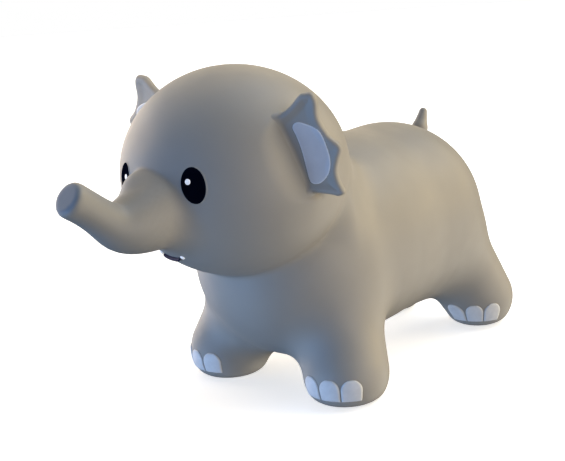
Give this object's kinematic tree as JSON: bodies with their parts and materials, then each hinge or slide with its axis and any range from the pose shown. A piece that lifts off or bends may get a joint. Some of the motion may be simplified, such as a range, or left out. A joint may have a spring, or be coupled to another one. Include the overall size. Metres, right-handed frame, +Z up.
{
  "type": "inflatable ride-on animal hopper",
  "caption": "Soft inflated elephant that a toddler sits on and bounces, with a lifted trunk, flap ears to hold, stub legs and a belly air valve.",
  "frame": {"origin": "on the floor, under the middle of the whole elephant", "axes": "+Z up, the elephant faces -Y, its left side is +X"},
  "size_m": [0.2842, 0.5978, 0.3451],
  "materials": {
    "grey_vinyl": "soft satin",
    "valve_vinyl": "soft satin",
    "plug_vinyl": "satin",
    "pale_paint": "satin paint",
    "black_paint": "gloss paint",
    "white_paint": "gloss paint",
    "navy_paint": "satin paint",
    "nail_paint": "satin paint"
  },
  "bodies": {
    "feet": {"leg_front_left": "grey_vinyl", "leg_front_right": "grey_vinyl", "leg_rear_left": "grey_vinyl", "leg_rear_right": "grey_vinyl", "nail_front_left_inner": "nail_paint", "nail_front_left_middle": "nail_paint", "nail_front_left_outer": "nail_paint", "nail_front_right_inner": "nail_paint", "nail_front_right_middle": "nail_paint", "nail_front_right_outer": "nail_paint", "nail_rear_left_inner": "nail_paint", "nail_rear_left_middle": "nail_paint", "nail_rear_left_outer": "nail_paint", "nail_rear_right_inner": "nail_paint", "nail_rear_right_middle": "nail_paint", "nail_rear_right_outer": "nail_paint"},
    "body": {"torso_skin": "grey_vinyl", "head_skin": "grey_vinyl", "trunk_skin": "grey_vinyl", "eye_left": "black_paint", "eye_right": "black_paint", "eye_glint_left": "white_paint", "eye_glint_right": "white_paint", "mouth": "navy_paint", "mouth_dot_left": "white_paint", "mouth_dot_right": "white_paint", "valve_seat": "valve_vinyl"},
    "left_ear": {"ear_left": "grey_vinyl", "ear_patch_left": "pale_paint"},
    "right_ear": {"ear_right": "grey_vinyl", "ear_patch_right": "pale_paint"},
    "tail_leaf": {"tail": "grey_vinyl"},
    "plug": {"air_plug": "plug_vinyl"}
  },
  "joints": [
    {"name": "bounce", "type": "slide", "parent": "feet", "child": "body", "axis": [0, 0, 1], "range_m": [-0.016, 0], "stiffness_N_per_m": 6000, "springref_m": 0.004, "deforming": ["leg_front_left", "leg_front_right", "leg_rear_left", "leg_rear_right"]},
    {"name": "left_ear_flex", "type": "hinge", "parent": "body", "child": "left_ear", "pos_m": [0.10319, -0.10521, 0.26141], "axis": [0.2736, 0.2084, -0.939], "range_deg": [-14, 14], "stiffness_Nm_per_rad": 0.6},
    {"name": "right_ear_flex", "type": "hinge", "parent": "body", "child": "right_ear", "pos_m": [-0.09822, -0.09236, 0.27913], "axis": [0.436, -0.1706, 0.8836], "range_deg": [-14, 14], "stiffness_Nm_per_rad": 0.6},
    {"name": "tail_flex", "type": "hinge", "parent": "body", "child": "tail_leaf", "pos_m": [0, 0.23739, 0.23126], "axis": [1, 0, 0], "range_deg": [-18, 18], "stiffness_Nm_per_rad": 0.05},
    {"name": "plug_pull", "type": "slide", "parent": "body", "child": "plug", "axis": [0, 0, -1], "range_m": [0, 0.018]}
  ]
}
